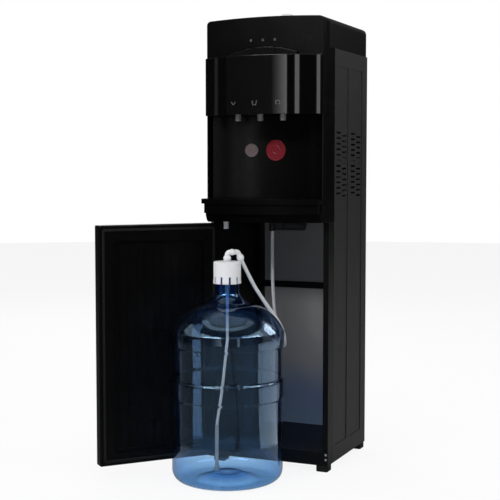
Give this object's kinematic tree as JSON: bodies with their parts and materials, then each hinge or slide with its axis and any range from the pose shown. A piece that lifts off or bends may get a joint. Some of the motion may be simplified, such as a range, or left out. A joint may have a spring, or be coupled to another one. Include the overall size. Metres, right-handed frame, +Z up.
{
  "type": "bottom load water cooler",
  "caption": "Tall black bottom-load water cooler, bottle door open, a blue bottle with its suction probe standing in front.",
  "frame": {"origin": "on the floor, under the middle of the cabinet's footprint", "axes": "+Z up, -Y towards the person at the taps, +X to that person's right"},
  "size_m": [0.5031, 0.5769, 1.1112],
  "materials": {
    "satin_black": "satin moulded black plastic",
    "gloss_black": "glossy moulded black plastic",
    "panel_black": "smooth black painted steel",
    "dark_grey": "satin dark grey plastic",
    "light_grey": "satin light grey plastic",
    "white_plastic": "satin white plastic",
    "red_plastic": "plain dark red plastic",
    "clear_lens": "pale lens",
    "rubber": "matt black rubber",
    "zinc_steel": "zinc plated steel",
    "stainless": "drawn stainless steel",
    "black_wire": "black enamelled steel tube",
    "foam": "cream foam",
    "circuit_green": "green circuit board",
    "bottle_blue": "translucent blue polycarbonate",
    "tube_white": "soft white food-grade tube"
  },
  "bodies": {
    "cabinet": {"base_pan": "satin_black", "feet": "rubber", "side_panel_left": "panel_black", "side_panel_right": "panel_black", "rear_panel": "panel_black", "door_jambs": "satin_black", "compartment_liners": "satin_black", "corner_duct": "satin_black", "inner_back_wall": "light_grey", "back_rail": "satin_black", "deck": "panel_black", "upper_fascia": "satin_black", "indicator_lenses": "clear_lens", "top_cover": "satin_black", "top_vent_cap": "light_grey", "dispensing_bay": "satin_black", "round_badge_large": "red_plastic", "round_badge_small": "light_grey", "tap_hood": "gloss_black", "tap_nozzles": "light_grey", "tap_valves": "white_plastic", "control_board": "circuit_green", "tray_shelf": "satin_black", "hinge_brackets": "panel_black", "hinge_pins": "zinc_steel", "door_switch": "white_plastic", "panel_screws": "zinc_steel", "hose_connector": "dark_grey", "water_pump": "dark_grey", "compressor_mounts": "rubber", "compressor": "black_wire", "tank_shelf": "zinc_steel", "cold_tank": "stainless", "hot_tank": "stainless", "tank_jackets": "foam", "water_lines": "tube_white", "condenser_coil": "black_wire", "condenser_strips": "black_wire", "condenser_wires": "black_wire", "switch_plate": "satin_black", "drain_spout": "white_plastic", "cord_gland": "rubber"},
    "door": {"door_outer_skin": "satin_black", "door_grip": "satin_black", "door_inner_liner": "gloss_black", "door_gasket": "rubber"},
    "bottle": {"bottle": "bottle_blue", "supply_hose": "tube_white"},
    "probe": {"bottle_cap": "white_plastic", "dip_tube": "tube_white", "suction_strainer": "light_grey", "probe_fittings": "white_plastic"},
    "tray": {"drip_tray": "satin_black"},
    "grille": {"drip_grille": "satin_black"},
    "button_cold": {"push_button_cold": "dark_grey"},
    "button_room": {"push_button_room": "dark_grey"},
    "button_hot": {"push_button_hot": "dark_grey"},
    "rocker_hot": {"rocker_switch_hot": "red_plastic"},
    "rocker_cold": {"rocker_switch_cold": "dark_grey"},
    "drain_cap": {"drain_cap": "white_plastic"}
  },
  "joints": [
    {"name": "door_hinge", "type": "hinge", "parent": "cabinet", "child": "door", "pos_m": [-0.146, -0.1595, 0.3125], "axis": [0, 0, 1], "range_deg": [0, 130.3]},
    {"name": "bottle_carry", "type": "slide", "parent": "cabinet", "child": "bottle", "axis": [0.9903, -0.1392, 0], "range_m": [0, 0.43], "deforming": ["supply_hose"]},
    {"name": "probe_lift", "type": "slide", "parent": "bottle", "child": "probe", "axis": [0, 0, 1], "range_m": [0, 0.045]},
    {"name": "tray_slide", "type": "slide", "parent": "cabinet", "child": "tray", "axis": [0, -1, 0], "range_m": [0, 0.12]},
    {"name": "grille_lift", "type": "slide", "parent": "tray", "child": "grille", "axis": [0, 0, 1], "range_m": [0, 0.06]},
    {"name": "button_cold_press", "type": "slide", "parent": "cabinet", "child": "button_cold", "axis": [0, 1, 0], "range_m": [0, 0.004], "stiffness_N_per_m": 400, "springref_m": -0.0015},
    {"name": "button_room_press", "type": "slide", "parent": "cabinet", "child": "button_room", "axis": [0, 1, 0], "range_m": [0, 0.004], "stiffness_N_per_m": 400, "springref_m": -0.0015},
    {"name": "button_hot_press", "type": "slide", "parent": "cabinet", "child": "button_hot", "axis": [0, 1, 0], "range_m": [0, 0.004], "stiffness_N_per_m": 400, "springref_m": -0.0015},
    {"name": "rocker_hot_tip", "type": "hinge", "parent": "cabinet", "child": "rocker_hot", "pos_m": [-0.083, 0.143, 0.985], "axis": [1, 0, 0], "range_deg": [-8, 8]},
    {"name": "rocker_cold_tip", "type": "hinge", "parent": "cabinet", "child": "rocker_cold", "pos_m": [-0.057, 0.143, 0.985], "axis": [1, 0, 0], "range_deg": [-8, 8]},
    {"name": "drain_cap_pull", "type": "slide", "parent": "cabinet", "child": "drain_cap", "axis": [0, 1, 0], "range_m": [0, 0.03]}
  ],
  "couplings": [
    {"joint": "bottle_carry", "follows": "door_hinge", "m_per_rad": 0.189}
  ]
}
